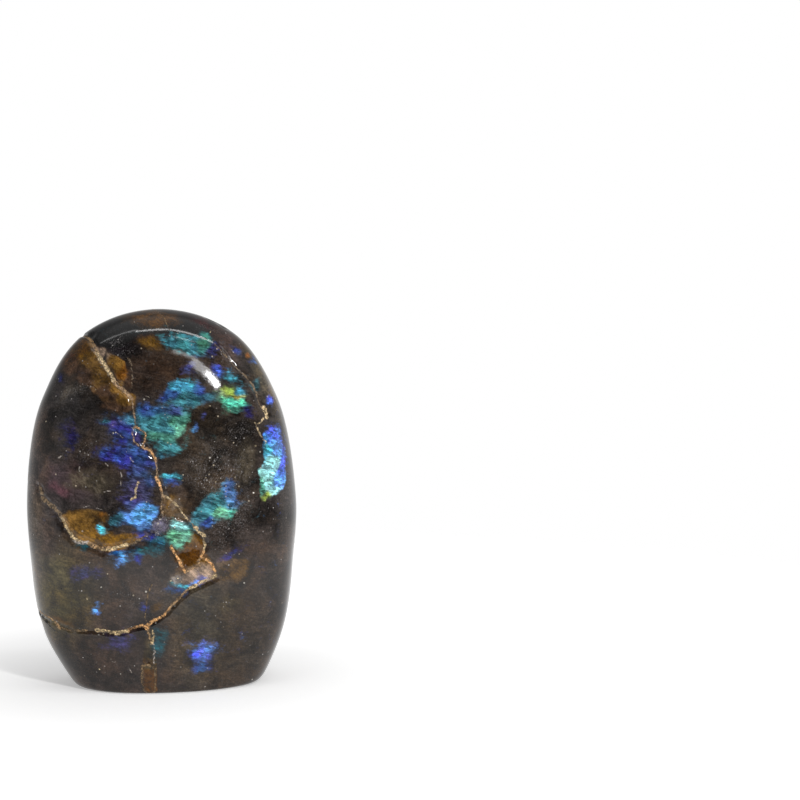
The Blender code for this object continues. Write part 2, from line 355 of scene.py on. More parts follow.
STAIN_ZONES = (
    # The gold wedge left of the main vein, and the flap right of it
    (1.2, (
        (-18, 93), (-17, 90.5), (-15.5, 87), (-13.5, 84), (-10.5, 80.5), (-8.5, 79), (-7, 77.5), (-7, 74.5),
        (-10, 73.5), (-13.5, 74.5), (-15.5, 77), (-18, 79.5), (-21, 82.5), (-24.5, 85), (-26, 87), (-23, 90),
        (-20.5, 92),
    )),
    (1.0, (
        (-14, 88.5), (-11.5, 88), (-9.5, 86.5), (-9, 84), (-8, 82), (-7.5, 80), (-9, 80), (-10, 82),
        (-11.5, 82.5), (-13, 84.5), (-14.5, 86),
    )),
    # The shell of the crescent
    (1.0, (
        (-26, 47), (-24, 48.5), (-20.5, 49), (-17, 49), (-13.5, 48), (-13, 47), (-15, 45.5), (-14.5, 43.5),
        (-11, 42.5), (-7.5, 42.5), (-4.5, 43), (-3.5, 42.5), (-7, 40.5), (-9, 39.5), (-11, 38.5), (-14, 38),
        (-16, 38.5), (-18.5, 39), (-20.5, 40), (-23, 41.5), (-25, 43.5),
    )),
    # The rough patch, its pale shelf and the clear triangle above
    (0.8, (
        (2.5, 39.5), (4.5, 39.5), (7, 42), (8.5, 42.5), (11, 40), (10, 37.5), (12, 36), (13.5, 31.5),
        (12.5, 31), (9, 32), (6, 33.5), (4, 33.5), (3, 36.5), (2, 38),
    )),
    (1.0, ((5.5, 32.5), (7, 33.5), (11, 33.5), (13.5, 31.5), (11.5, 30), (9, 28.5), (7, 28.5), (6, 30.5))),
    (1.2, ((0, 52.5), (2.5, 52.5), (4.5, 50), (6.5, 47.5), (4.5, 45.5), (2.5, 45.5), (1.5, 47.5), (0, 49.5))),
    # The bone and the stalk at the foot, and the band on the right
    (0.5, ((-5.5, 8), (-3, 9), (-2, 8.5), (-2, 5), (-2.5, 2.5), (-2, 0.5), (-5, 0.5), (-5.5, 3), (-5, 5))),
    (0.7, ((-4, 18), (-3, 15), (-3, 13), (-2, 9), (-5.5, 8.5), (-5, 12), (-4, 14.5))),
    (1.8, ((13.5, 35.5), (18, 35.5), (22, 35), (22, 33), (21.5, 30.5), (18, 30.5), (15, 29.5), (14, 31))),
)
# Zones of the painted labradorescent sheen
FLASH_ZONES = (
    # The broad sheet right of the main vein
    (1.6, (
        (-6.5, 75), (-3.5, 75.5), (-0.5, 75), (2.5, 75.5), (6, 75.5), (7.5, 74), (7, 72.5), (6, 70.5),
        (4, 69), (2.5, 68), (4, 66), (4.5, 64), (3, 63), (0, 64), (-1.5, 66), (-3.5, 67.5), (-5, 69.5),
        (-6, 71), (-6.5, 73.5),
    )),
    # The ring, the group beside it and the sheet under the crest
    (1.8, (
        (0, 78), (1.5, 80.5), (4, 82), (7, 82), (10, 80), (10.5, 77.5), (8.5, 75.5), (5, 75.5),
        (2.5, 76.5), (1, 76.5),
    )),
    (1.8, (
        (14, 78.5), (16.5, 80), (18.5, 80), (22.5, 78.5), (22.5, 76.5), (22, 74.5), (19.5, 73), (16.5, 74),
        (14.5, 76.5),
    )),
    (2.0, (
        (0.5, 92.5), (3.5, 93.5), (7.5, 93), (12, 92.5), (13, 91.5), (12.5, 90), (10, 88), (8.5, 88.5),
        (6.5, 89), (4, 89.5), (1.5, 90), (0.5, 91),
    )),
    # Blue, left of the main vein
    (3.0, (
        (-16.5, 63.5), (-14.5, 64.5), (-11, 65), (-8, 64.5), (-5, 63), (-2.5, 61.5), (-1.5, 60),
        (-4.5, 59.5), (-7, 60), (-10, 60), (-12.5, 61), (-15.5, 62),
    )),
    (2.4, ((-14.5, 71.5), (-11.5, 73), (-9, 73), (-7, 72), (-7, 69), (-9, 69.5), (-10.5, 69.5), (-12.5, 70))),
    # The shelf on the right flank
    (0.8, (
        (28, 69), (29.5, 69), (30.5, 67), (31.5, 63.5), (32.5, 59), (32.5, 55.5), (31.5, 52.5), (29.5, 51),
        (28, 50.5), (26.5, 52), (25.5, 54), (25, 57), (26.5, 60.5), (27, 64), (27, 66.5),
    )),
    # The slanting sheet right of the centre, the mint below it and the azure above the crescent
    (1.6, (
        (7, 47), (9, 49.5), (12, 52.5), (14, 52.5), (16.5, 56.5), (18.5, 56), (19, 53), (18.5, 49.5),
        (17.5, 48), (14.5, 46), (12.5, 44.5), (10.5, 44.5), (9, 46),
    )),
    (1.0, ((2, 44.5), (3.5, 45.5), (6.5, 45), (7, 44.5), (7, 42), (5.5, 40), (3.5, 39), (2, 39.5), (1.5, 42))),
    (1.6, (
        (-13, 46.5), (-11, 48), (-8, 49.5), (-7, 50.5), (-3.5, 50.5), (-1.5, 50), (-1.5, 48), (-3, 46),
        (-4.5, 43.5), (-7, 43), (-8, 45), (-9.5, 45.5), (-12, 45.5),
    )),
)

# Broad tints of the body, and one painted reflection high on the right rim

TINTS = (
    ((80, 74, 54), (-26, 25), (5.8, 9.5), 0),
    ((92, 86, 68), (-28, 32.5), (4.7, 1.8), -40),
    ((86, 78, 70), (-33, 39), (1.8, 15.8), 0),
    ((72, 58, 52), (-32.5, 66), (2.1, 11.8), 0),
    ((64, 50, 54), (-26, 56), (5.8, 3.7), -10),
    ((64, 58, 56), (-14.5, 10.5), (12, 8), 0),
    ((70, 66, 58), (9.5, 17), (6.8, 11.6), 0),
    ((60, 56, 52), (21, 13.5), (7, 12), 0),
    ((18, 18, 23), (-11, 90.5), (3.4, 2.6), -10),
    ((27, 26, 26), (-21.5, 76.5), (7.4, 4.7), 20),
    ((22, 24, 26), (20, 68.5), (3.2, 3.2), 0),
    ((44, 33, 26), (-0.5, 84), (6.8, 4.2), 0),
    ((52, 46, 40), (11, 66.5), (7.9, 15.8), 0),
    ((88, 78, 60), (27.5, 82.5), (2.4, 8.9), 25),
    # A painted reflection: the greyish veil high on the right rim
    ((84, 74, 72), (17.5, 91), (3.4, 3.2), -35),
    ((50, 40, 32), (7.5, 89), (7.9, 1.6), -10),
    ((68, 60, 58), (-30.5, 43), (3.7, 4.7), 0),
    ((72, 70, 68), (-22.5, 79), (4.2, 1.2), 35),
    ((58, 48, 42), (4, 51.5), (2.6, 6.8), 0),
)

# Where painted glints sparkle on the body: (across, up), (half width, half height), lean, and how densely

GLITTER = (
    ((14, 58), (8, 7), 0, 1.25),
    ((18, 46), (4, 8), -30, 1.1),
    ((-0.5, 44.5), (3, 2.4), 0, 1.7),
    ((3.5, 31), (2, 1.5), 0, 1.7),
    ((-11, 90.5), (3.6, 2.8), 0, 0.8),
    ((20, 68), (4.5, 4), 0, 0.7),
    ((-22.5, 78.5), (5.5, 1.8), 35, 0.9),
    ((-19.6, 64), (2.6, 3.2), 0, 0.7),
    ((12.5, 94.5), (4, 1.6), -10, 0.6),
    ((14, 87), (5, 3.5), -30, 0.4),
    ((-9, 27), (3.5, 4.5), 0, 0.4),
)

# Vein fillings and crusts, and one painted shade line: half width in millimetres, colour and points

LINES = (
    # Main vein
    (0.42, CRUST, ((-22, 102), (-18.6, 93.6), (-18, 92.2), (-17.4, 90.6), (-16.6, 88.8))),
    (0.68, CRUST_PALE, ((-16.6, 88.8), (-15.2, 86.8), (-14.2, 85.4), (-13.4, 83.6), (-12.4, 82))),
    (0.6, CRUST, ((-12.4, 82), (-11.4, 80.8), (-10.2, 79.8), (-8.8, 78.6), (-7.6, 77.4))),
    (0.29, CRUST, ((-7.6, 77.4), (-7.4, 76), (-7.4, 74.2), (-7, 72.4), (-7, 70.6))),
    (0.24, CRUST, ((-7, 70.6), (-7.6, 68.4), (-7.2, 66.2), (-6, 65))),
    (0.3, CRUST_WARM, ((-7, 70.6), (-5.6, 69.4), (-4.4, 68.4), (-4.6, 66.6), (-5, 65))),
    (0.47, CRUST_WARM, ((-5, 65), (-3.4, 64), (-2.4, 63), (-1.6, 61.4))),
    (0.34, CRUST, ((-1.6, 61.4), (-1.4, 59), (-1.4, 57), (-1, 55), (-0.2, 53.2), (0.6, 51.8))),
    (0.53, CRUST_WARM, ((-1.8, 56.8), (-1, 55.2), (-0.4, 53.6))),
    (0.32, CRUST_PALE, ((0.6, 52.4), (2, 51.2), (3.6, 49.8), (5.2, 47.8), (6.2, 46.2))),
    (0.26, CRUST, ((0, 52.4), (-0.4, 50), (0.2, 47.2))),
    (0.29, CRUST, ((6.2, 46.2), (7.4, 45), (8.4, 43.6))),
    # Rough patch
    (0.58, CRUST_PALE, ((8.4, 43.8), (9.2, 42.6), (10.4, 41.4))),
    (0.42, CRUST_PALE, ((10.2, 40.4), (11, 39.4), (10.4, 38))),
    (0.47, CRUST_WARM, ((10.4, 38), (9.8, 36.2), (11.2, 35.2), (12.2, 34.2), (13.2, 32.4))),
    (0.37, CRUST, ((9.8, 36.2), (8.8, 35.2), (9.4, 33.6))),
    (0.47, CRUST_WARM, ((2, 39.2), (3, 37.2), (4.2, 35.4), (4.8, 33.6), (5.4, 32.2))),
    (0.34, CRUST, ((5.4, 32.2), (7.2, 33), (9.2, 34))),
    (0.58, CRUST_PALE, ((13.4, 31.2), (11.4, 30.2), (9, 29.4), (6.8, 28.2))),
    (0.47, CRUST, ((6.8, 28.2), (5, 26.8), (3.2, 24.6), (1.4, 22.6))),
    (0.53, CRUST_WARM, ((1.4, 22.6), (-0.2, 21), (-2.2, 20), (-3.8, 18.8))),
    (0.74, CRUST_WARM, ((-2.2, 20), (-3.6, 19), (-4.4, 18))),
    # Lower vein
    (0.5, CRUST, ((-42, 22.5), (-33, 20.6), (-30, 20), (-28.4, 18.8), (-26.8, 17.4))),
    # A painted shade line under the lower vein
    (0.32, SHADE, ((-33, 20), (-31.8, 19), (-30.4, 18.2), (-28.4, 16.8), (-26.8, 16.2))),
    (0.34, CRUST_DARK, ((-26.8, 17.4), (-24.4, 16.8), (-22.2, 17), (-20, 17))),
    (0.63, CRUST_PALE, ((-17.4, 17.4), (-15.6, 17.2), (-13.8, 16.6), (-11.6, 16.6), (-9.4, 17.2))),
    (0.5, CRUST_WARM, ((-9.4, 17.2), (-7.4, 18), (-5.8, 18.6), (-4.4, 18))),
    # Stalk and bone below the node
    (0.34, CRUST, ((-4.2, 18), (-3.8, 15.8), (-3.4, 13.6))),
    (0.39, CRUST_PALE, ((-2.8, 17.4), (-2.6, 15.6), (-3.2, 13.6))),
    (0.26, CRUST_GREY, ((-2.8, 13.4), (-2.6, 10.8), (-3, 8.4))),
    (0.29, CRUST_DARK, ((-2.6, 7.8), (-2.2, 4), (-2.4, 0.4), (-4, 0.2), (-5.4, 0.8))),
    (0.29, CRUST_DARK, ((-5.4, 1), (-5.6, 4), (-5.8, 7.2))),
    (0.47, CRUST_DARK, ((-5.8, 7.6), (-4.4, 8), (-3.2, 7.2))),
    (0.24, CRUST_DARK, ((-3, 29), (-4, 27), (-4.6, 24.8), (-4.4, 23), (-5, 21.2), (-4.6, 19.6))),
    # Crescent
    (0.53, CRUST_DARK, ((-31.8, 54.2), (-31.2, 52.4), (-30, 50.8))),
    (0.68, CRUST_DARK, ((-31, 51.4), (-29.2, 50), (-27.4, 48.6), (-26.2, 47.4))),
    (0.61, CRUST_PALE, ((-26, 46.6), (-25, 44.6), (-24, 42.8), (-22.8, 41.2), (-21.2, 40.6))),
    (0.66, CRUST_GREY, ((-22.8, 40.8), (-21.2, 40.2), (-19.4, 40.4))),
    (0.63, CRUST, ((-19.4, 40.4), (-17.4, 39.2), (-15.4, 38.8), (-13.6, 38.8))),
    (0.63, CRUST_PALE, ((-15.2, 38.6), (-13, 38.6), (-11, 39.2), (-9.2, 39.8))),
    (0.42, CRUST_DARK, ((-9.2, 39.8), (-7.4, 40.4), (-6, 40.8), (-4.4, 42))),
    # Side crack
    (0.21, CRUST_DARK, ((13.8, 91.2), (15.6, 89.2), (17.4, 87.2), (19, 85.4))),
    (0.27, CRUST_DARK, ((19, 85.4), (20.8, 83.4), (22.6, 81.8), (24, 79.6))),
    (0.24, CRUST_DARK, ((24, 79.6), (25, 77.4), (25.4, 75.4), (26.4, 74))),
    (0.58, CRUST_PALE, ((26.4, 74.4), (27, 73.2), (27.2, 71.8))),
    (0.3, CRUST_PALE, ((26.2, 71.6), (25.4, 70.6), (24.6, 70.2))),
    (0.29, CRUST_PALE, ((23.8, 70.6), (24.8, 68.6), (25.8, 66.8), (26.8, 65.2))),
    # Crest
    (0.42, CRUST_PALE, ((11, 98.6), (12.6, 97.8), (14, 97.4))),
    (0.21, CRUST_DARK, ((1.2, 98), (1.4, 96.2), (2, 94.8))),
    # Seams in the body
    (0.32, CRUST_PALE, ((-6.2, 56), (-6.8, 55), (-7, 53.8), (-7, 52.4), (-8.2, 51.6))),
    (0.24, CRUST_DARK, ((-8.6, 87.8), (-7.8, 85.6), (-7.6, 82.6), (-7.8, 80))),
)
BACK_LINES = (
    (0.5, CRUST, ((28, 91), (26, 88), (22, 83.2), (19, 79), (17, 74.5), (15.5, 70))),
    (0.36, CRUST_PALE, ((15.5, 70), (12.6, 66.4), (9, 63.5), (6.2, 60.4), (4.5, 56.5), (0.5, 54), (-4, 53))),
)

# Painted glints, as pale dots: radius in millimetres, colour and places

GLINT_DOTS = (
    (0.28, WHITE, (
        (-18.4, 80.4), (-11.8, 68.6), (-12.6, 68.4), (-20, 63.4), (-16, 28.6),
        (8.8, 43.8), (3, 44.4), (-0.6, 46.4), (-1.2, 45.2), (23.4, 52.4),
    )),
    (0.22, CREAM, (
        (-19.6, 65.4), (12.8, 94.4), (12.2, 75.2), (-19.8, 25.6), (-17, 6.6), (-3.4, 77.8),
        (8.8, 42.6), (24, 64.6), (5, 56), (13.6, 55.6), (10.8, 57), (18.8, 56.6),
        (3.6, 30.8), (2.6, 31.2), (4.4, 29.8), (1.8, 30.2),
    )),
)
# Painted glints, as short grey dashes: half width in millimetres, then the two ends of each
GLINT_DASH_HALF_WIDTH = 0.15
GLINT_DASHES = (
    ((-26.6, 62.2), (-25.6, 62.6)), ((-21.2, 59.8), (-21.2, 58.6)), ((-14.8, 61), (-13.8, 60)),
    ((-8.4, 62.4), (-7.6, 61.4)), ((-10.6, 58.4), (-10.6, 57.4)), ((-10.6, 56.4), (-10.6, 55.2)),
    ((-15, 53.6), (-13.2, 53.6)), ((-20.4, 49.6), (-18.6, 49.8)), ((-16.8, 49.2), (-15.6, 49.2)),
    ((-11.4, 68.4), (-10, 67.4)), ((-13.4, 8.8), (-12.4, 8.8)), ((-9.2, 7), (-8.4, 6)),
    ((18.8, 88.8), (18.2, 89.6)), ((-4, 78), (-3, 77.6)),
)

# How marks are laid on the mesh. Without a fixed seed, their drift starts from the clock.

DRIFT_SEED = 1
ALBEDO_PER_SEEN = 1.1
BRIGHTEST_ALBEDO = 0.92
TINT_WEIGHT = 4.0
# How densely painted glints lie everywhere on the body
GLITTER_EVERYWHERE = 0.18
OVAL_STRENGTH = 0.85
LINE_WIDTH_SHARE = 0.8
CRUST_SOFTNESS = 0.45 * MM
LINE_WANDER = ((3.0 * MM, 0.35 * MM), (0.9 * MM, 0.25 * MM))
SHEET_WANDER = ((6.0 * MM, 1.3 * MM), (2.2 * MM, 0.8 * MM), (0.9 * MM, 0.3 * MM))
LEAST_ALBEDO = 0.003

# Light that the polish itself sends to the camera: off the floor, below a height, and off
# the ceiling, on the crest. The colours were judged with it, so it is taken off them.

FLOOR_VEIL = 0.028
FLOOR_VEIL_Z = (47.0 * MM, 37.0 * MM)
CREST_VEIL = 0.040
CREST_VEIL_SLOPE = (0.35, 0.70)
FRONT_FADE_Y = (-4.0 * MM, 6.0 * MM)

# Camera and lights

CAMERA_AT = (0.0, -0.478, 0.1075)
CAMERA_PITCH = 3.835
CAMERA_YAW = 7.64
LENS = 80.0
SENSOR = 36.0

# Softboxes in front: azimuth to the right of straight ahead and elevation, roll of the long
# side, width and height, and power

SOFTBOX_DISTANCE = 0.80
SOFTBOXES = {
    "key_core": (25.5, 28.0, -52.0, (0.060, 0.028), 1.2),
    "key_halo": (24.5, 29.0, -52.0, (0.130, 0.055), 1.0),
    "key_veil": (22.0, 32.0, -52.0, (0.210, 0.090), 0.55),
    "key_spill": (14.0, 42.0, -25.0, (0.150, 0.050), 0.12),
}

# Strips overhead: place, width and height, and power

STRIPS = {
    "strip_above": ((0.10, -0.16, 0.60), (0.42, 0.030), 0.42),
    "strip_above_left": ((-0.22, -0.13, 0.60), (0.24, 0.030), 0.07),
    "strip_second": ((0.13, -0.295, 0.60), (0.12, 0.016), 0.035),
}

FLOOR_RADIUS = 0.32
FLOOR_OPAQUE_TO = 0.15
FLOOR_CLEAR_FROM = 0.30


def silhouette_distance(angle):
    """Distance from the centre to the silhouette, smooth through the given distances."""
    count = len(SILHOUETTE)
    step = (angle / (2 * np.pi) * count) % count
    first = np.floor(step).astype(int)
    part = step - first
    before, start, end, after = (SILHOUETTE[(first + shift) % count] for shift in (-1, 0, 1, 2))
    return 0.5 * (
        2 * start
        + (end - before) * part
        + (2 * before - 5 * start + 4 * end - after) * part**2
        + (3 * start - before - 3 * end + after) * part**3
    )


def blend(terms, power):
    return sum(term**power for term in terms) ** (1 / power)


def gauge(offsets):
    """How far out each offset from the centre lies: 1 on the stone's surface, under 1 inside."""
    across, deep, up = offsets.T
    outline = np.hypot(across, up) / silhouette_distance(np.arctan2(up, across))
    depth = deep / np.where(deep < 0, HALF_DEPTH_FRONT, HALF_DEPTH_BACK)
    dome = np.sqrt((across / DOME_HALF_WIDTH) ** 2 + (up / DOME_HALF_HEIGHT) ** 2 + depth**2)
    front = np.maximum(FRONT_SHOULDER[0] * outline - FRONT_SHOULDER[1] * depth, 0)
    back = np.maximum(BACK_SHOULDER[0] * outline + BACK_SHOULDER[1] * depth, 0)
    form = blend((outline, dome, front, back), SHOULDER_POWER)
    base = np.maximum(-up / CENTRE[2], 0)
    return blend((form, base), BASE_EDGE_POWER)


def on_surface(points):
    """The points moved out or in from the centre, onto the smooth form."""
    offsets = points - CENTRE
    return CENTRE + offsets / gauge(offsets)[:, None]


def surface_normals(points):
    step = 0.02 * MM
    offsets = points - CENTRE
    slopes = [gauge(offsets + step * axis) - gauge(offsets - step * axis) for axis in np.eye(3)]
    slopes = np.stack(slopes, 1)
    return slopes / np.linalg.norm(slopes, axis=1)[:, None]


def front_view(points):
    """Across and up, followed along the slant of the fractures, in metres."""
    run = np.maximum(points[:, 1] - SLANT_FROM_Y, 0)
    return np.stack((points[:, 0] + SLANT[0] * run, points[:, 2] + SLANT[1] * run), 1)


def path_distance(spots, path):
    """Distance from each spot to a path of straight runs, both in the front view."""
    nearest = np.full(len(spots), np.inf)
    corners = np.array(path) * MM
    for start, end in zip(corners[:-1], corners[1:]):
        run = end - start
        along = np.clip((spots - start) @ run / (run @ run), 0, 1)
        nearest = np.minimum(nearest, np.linalg.norm(spots - start - along[:, None] * run, axis=1))
    return nearest


def bowl(distance, radius):
    """1 in the middle of a hollow and 0 from its rim outwards."""
    return np.clip(1 - (distance / radius) ** 2, 0, 1) ** 2


def noise_at(points, size):
    return np.array([noise.noise(Vector(point / size)) for point in points])


def wander_at(points, wander):
    """A small sideways drift of the marks, so that no edge is a drawn curve."""
    drift = np.zeros((len(points), 3))
    for size, reach in wander:
        drift += reach * np.array([noise.noise_vector(Vector(point / size)) for point in points])
    return drift[:, (0, 2)]


def shows(points, side):
    """True on the side of the stone where a mark shows."""
    return points[:, 1] * side >= 0


def carved_depth(points):
    """How far grooves, hollows and chips lie below the smooth form."""
    spots = front_view(points)
    rough = noise_at(points, PIT_SIZE)
    fine = noise_at(points, FINE_PIT_SIZE)
    depth = np.zeros(len(points))
    for path, half_width, groove, pits, side in GROOVES:
        across = bowl(path_distance(spots, path), half_width) * shows(points, side)
        depth = np.maximum(depth, across * (groove + pits * rough + FINE_PIT_DEPTH * fine))
    for centre, radius, deep in HOLLOWS:
        distance = np.linalg.norm(spots - np.array(centre), axis=1)
        hollow = bowl(distance, radius) * shows(points, FRONT)
        depth = np.maximum(depth, hollow * (deep * (1 + 0.6 * rough) + FINE_PIT_DEPTH * fine))
    for centre, radius, deep in CHIPS:
        distance = np.linalg.norm(points - np.array(centre), axis=1)
        depth = np.maximum(depth, bowl(distance, radius) * deep)
    return depth * np.clip(points[:, 2] / GROOVES_FADE_ABOVE_BASE, 0, 1)


def swell_height(points):
    height = sum(rise * noise_at(points, width) for width, rise in SWELLS)
    return height * np.clip(points[:, 2] / GROOVES_FADE_ABOVE_BASE, 0, 1)


def wanted_edge(points):
    """The longest edge wanted at each point."""
    spots = front_view(points)
    wanted = np.where(surface_normals(points)[:, 1] < -0.3, EDGE_FRONT, EDGE_ELSEWHERE)
    for path, half_width, _, _, side in GROOVES:
        near = (path_distance(spots, path) < half_width + 0.3 * MM) & shows(points, side)
        wanted[near] = EDGE_AT_MARK
    for centre, radius, _ in HOLLOWS:
        near = (np.linalg.norm(spots - np.array(centre), axis=1) < radius) & shows(points, FRONT)
        wanted[near] = EDGE_AT_MARK
    for half_width, _, path in LINES:
        near = (path_distance(spots, path) < (half_width + 0.3) * MM) & shows(points, FRONT)
        wanted[near] = np.minimum(wanted[near], EDGE_AT_MARK)
    for _, _, path in glint_marks():
        near = (path_distance(spots, path) < 0.7 * MM) & shows(points, FRONT)
        wanted[near] = EDGE_AT_DOT
    return wanted


def positions(bm):
    return np.array([vert.co[:] for vert in bm.verts])


def place_verts(bm, points):
    for vert, point in zip(bm.verts, points):
        vert.co = point


def edge_ends(bm):
    bm.verts.index_update()
    return np.array([[vert.index for vert in edge.verts] for edge in bm.edges])


def refine(bm):
    for _ in range(REFINE_ROUNDS):
        points = positions(bm)
        ends = edge_ends(bm)
        lengths = np.linalg.norm(points[ends[:, 0]] - points[ends[:, 1]], axis=1)
        long = lengths > wanted_edge(points[ends].mean(axis=1))
        chosen = [edge for edge, split in zip(bm.edges, long) if split]
        if not chosen:
            break
        bmesh.ops.subdivide_edges(bm, edges=chosen, cuts=1, use_grid_fill=True, use_single_edge=True)
        bmesh.ops.triangulate(bm, faces=[face for face in bm.faces if len(face.verts) > 3])
        place_verts(bm, on_surface(positions(bm)))


def even_out(bm):
    """Slide points towards the middle of their neighbours, keeping them on the form."""
    for _ in range(EVENING_ROUNDS):
        points = positions(bm)
        ends = edge_ends(bm)
        total = np.zeros_like(points)
        count = np.zeros(len(points))
        for here, there in ((0, 1), (1, 0)):
            np.add.at(total, ends[:, here], points[ends[:, there]])
            np.add.at(count, ends[:, here], 1)
        place_verts(bm, on_surface((points + total / count[:, None]) / 2))


def linear(colour):
    """An sRGB colour of 0 to 255 as linear light."""
    part = np.array(colour) / 255
    return np.where(part <= 0.04045, part / 12.92, ((part + 0.055) / 1.055) ** 2.4)


def albedo(colour):
    return np.minimum(linear(colour) * ALBEDO_PER_SEEN, BRIGHTEST_ALBEDO)


def oval_distance(spots, centre, size, lean):
    """How far out each spot lies in a leaning oval: 0 in its middle, 1 on its edge."""
    turn = math.radians(lean)
    across, up = (spots - np.array(centre) * MM).T
    along = across * math.cos(turn) + up * math.sin(turn)
    over = up * math.cos(turn) - across * math.sin(turn)
    return np.hypot(along / (size[0] * MM), over / (size[1] * MM))


def smooth_step(values, start, end):
    part = np.clip((values - start) / (end - start), 0, 1)
    return part * part * (3 - 2 * part)


def inside_distance(spots, corners):
    """Distance to a closed outline, positive inside it."""
    loop = [*corners, corners[0]]
    distance = path_distance(spots, loop)
    inside = np.zeros(len(spots), bool)
    across, up = spots.T / MM
    for (x1, z1), (x2, z2) in zip(loop[:-1], loop[1:]):
        if z1 == z2:
            continue
        crossing = x1 + (up - z1) * (x2 - x1) / (z2 - z1)
        inside ^= ((z1 > up) != (z2 > up)) & (across < crossing)
    return np.where(inside, distance, -distance)


def paint_sheets(spots, ovals, zones):
    """The colour of the ovals around each spot, and how strongly they or a zone cover it."""
    colour = np.zeros((len(spots), 3))
    total = np.zeros(len(spots))
    bare = np.ones(len(spots))
    for tone, centre, size, lean in ovals:
        distance = oval_distance(spots, centre, size, lean)
        weight = 1 / (distance**2 + 0.08) ** 3
        colour += weight[:, None] * albedo(tone)
        total += weight
        bare *= 1 - OVAL_STRENGTH * np.exp(-1.1 * distance**2)
    cover = 1 - bare
    for softness, corners in zones:
        inside = inside_distance(spots, corners)
        cover = np.maximum(cover, np.clip(0.5 + inside / (softness * MM), 0, 1))
    return colour / total[:, None], cover


def paint_body(spots):
    low = smooth_step(spots[:, 1], *FLOOR_VEIL_Z)[:, None]
    colour = albedo(BODY) * (1 - low) + albedo(BODY_LOW) * low
    total = np.ones(len(spots))
    for tone, centre, size, lean in TINTS:
        weight = TINT_WEIGHT * np.exp(-oval_distance(spots, centre, size, lean) ** 2 * 1.2)
        colour += weight[:, None] * albedo(tone)
        total += weight
    return colour / total[:, None]


# How densely the painted glints lie at each spot
def paint_glitter(spots):
    glint_density = np.full(len(spots), GLITTER_EVERYWHERE)
    for centre, size, lean, amount in GLITTER:
        distance = oval_distance(spots, centre, size, lean)
        glint_density = np.maximum(glint_density, amount * np.clip(1.5 - distance, 0, 1))
    return glint_density


def paint_lines(spots, lines):
    """The colour of the nearest vein filling or painted glint, and how strongly it covers each spot."""
    colour = np.tile(albedo(CRUST), (len(spots), 1))
    nearest = np.full(len(spots), -np.inf)
    for half_width, tone, path in lines:
        inside = LINE_WIDTH_SHARE * half_width * MM - path_distance(spots, path)
        closer = inside > nearest
        colour[closer] = albedo(tone)
        nearest = np.maximum(nearest, inside)
    return colour, np.clip(0.5 + nearest / CRUST_SOFTNESS, 0, 1)


# The painted glint dots and dashes, each as a short path
def glint_marks():
    dots = [
        (radius, tone, (place, (place[0] + 0.05, place[1])))
        for radius, tone, places in GLINT_DOTS
        for place in places
    ]
    return dots + [(GLINT_DASH_HALF_WIDTH, CRUST_GREY, dash) for dash in GLINT_DASHES]


def on_side(front, back, share):
    """Front values turning into back values where share goes from 1 to 0."""
    share = share if front.ndim == 1 else share[:, None]
    return front * share + back * (1 - share)


def veil_at(points):
    floor = FLOOR_VEIL * smooth_step(points[:, 2], *FLOOR_VEIL_Z)
    crest = CREST_VEIL * smooth_step(surface_normals(points)[:, 2], *CREST_VEIL_SLOPE)
    return np.where(shows(points, FRONT), floor, 0.5 * floor) + crest


def paint(points):
    """All the marks at each point: four layers of colour with a cover."""
    line_drift = wander_at(points, LINE_WANDER)
    sheet_drift = wander_at(points, SHEET_WANDER)
    slanted = front_view(points)
    upright = points[:, (0, 2)]
    fade = np.clip((FRONT_FADE_Y[1] - points[:, 1]) / (FRONT_FADE_Y[1] - FRONT_FADE_Y[0]), 0, 1)

    body = paint_body(slanted + sheet_drift)
    stain, stained = paint_sheets(slanted + 0.5 * sheet_drift, STAINS, STAIN_ZONES)
    flash, flashed = paint_sheets(upright + sheet_drift, FRONT_FLASHES, FLASH_ZONES)
    back_flash, back_flashed = paint_sheets(upright + sheet_drift, BACK_FLASHES, ())
    lines, lined = paint_lines(slanted + line_drift, LINES)
    # Painted glints, as dots and dashes
    others, other = paint_lines(upright + line_drift, glint_marks())
    back_lines, back_lined = paint_lines(slanted + line_drift, BACK_LINES)
    at_back = ~shows(points, FRONT)
    others[at_back] = back_lines[at_back]
    other[at_back] = back_lined[at_back]
    wins = other > lined
    lines[wins] = others[wins]

    veil = veil_at(points)[:, None]
    layers = {
        # The body layer's cover holds how densely the painted glints lie
        "body": (body, paint_glitter(upright + sheet_drift)),
        "stain": (stain, stained),
        # The painted labradorescent sheen, front and back
        "flash": (
            on_side(flash, back_flash, fade),
            np.maximum(flashed * fade, back_flashed * (1 - fade)),
        ),
        # Vein crusts, and the painted glint dots and dashes
        "crust_and_glints": (lines, np.maximum(lined, other)),
    }
    return {
        name: (np.maximum(colour - veil, LEAST_ALBEDO), cover)
        for name, (colour, cover) in layers.items()
    }


def store_layers(mesh, layers):
    for name, (colour, cover) in layers.items():
        layer = mesh.color_attributes.new(name, "FLOAT_COLOR", "POINT")
        values = np.column_stack((colour, cover)).astype(np.float32)
        layer.data.foreach_set("color", values.ravel())


def make_stone():
    bpy.ops.mesh.primitive_ico_sphere_add(subdivisions=7, radius=1.0)
    stone = bpy.context.object
    stone.name = "polished_stone"
    stone.data.name = "polished_stone"

    bm = bmesh.new()
    bm.from_mesh(stone.data)
    spread = np.array((SILHOUETTE[0], HALF_DEPTH_FRONT, CENTRE[2]))
    place_verts(bm, on_surface(CENTRE + positions(bm) * spread))
    even_out(bm)
    refine(bm)
    even_out(bm)

    smooth_points = positions(bm)
    relief = swell_height(smooth_points) - carved_depth(smooth_points)
    points = smooth_points + relief[:, None] * surface_normals(smooth_points)
    flat = points[:, 2] < 0.02 * MM
    points[flat, 2] = 0.0
    place_verts(bm, points)
    bmesh.ops.recalc_face_normals(bm, faces=bm.faces)
    bm.to_mesh(stone.data)
    bm.free()
    stone.data.shade_smooth()
    store_layers(stone.data, paint(smooth_points))
    return stone


